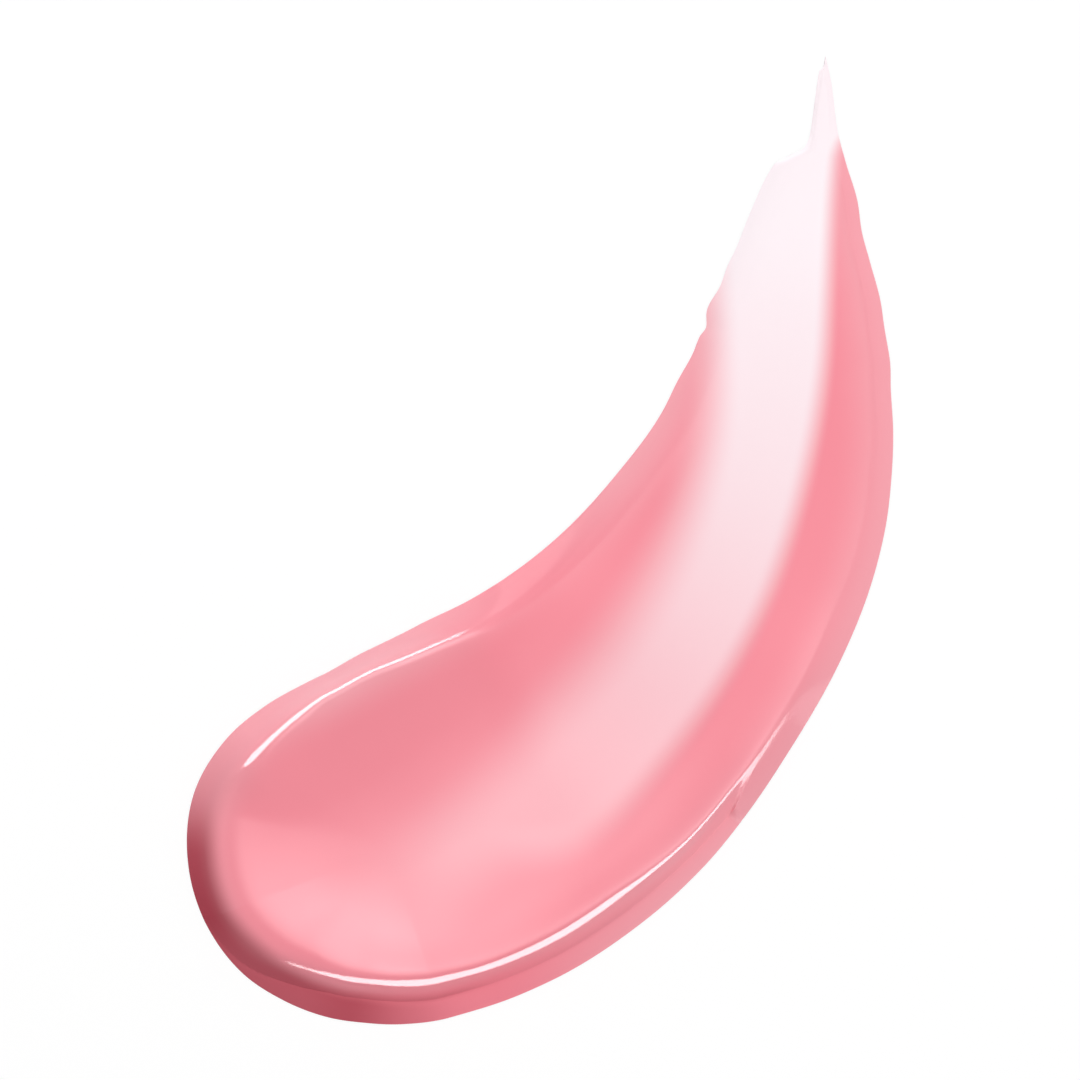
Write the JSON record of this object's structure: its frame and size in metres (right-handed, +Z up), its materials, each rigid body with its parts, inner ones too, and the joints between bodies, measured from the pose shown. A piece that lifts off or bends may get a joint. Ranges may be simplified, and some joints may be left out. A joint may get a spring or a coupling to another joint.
{
  "type": "lip gloss smear",
  "caption": "Comma-shaped smear of glossy pink lip gloss: a thick scooped dollop with raised rims, drawn out by a spatula into a thin torn tail, flat underneath.",
  "frame": {"origin": "middle of the smear's bounding box, in the plane of its flat underside", "axes": "+Z up, away from the surface that the gloss lies on; +Y the way the tail points; +X to the right, seen from above with the tail pointing away"},
  "size_m": [0.0364, 0.05, 0.002],
  "materials": {
    "gloss": "wet, high-gloss, slightly translucent pink; paler where the film is thin"
  },
  "bodies": {
    "root": {"gloss_smear": "gloss"}
  },
  "joints": []
}
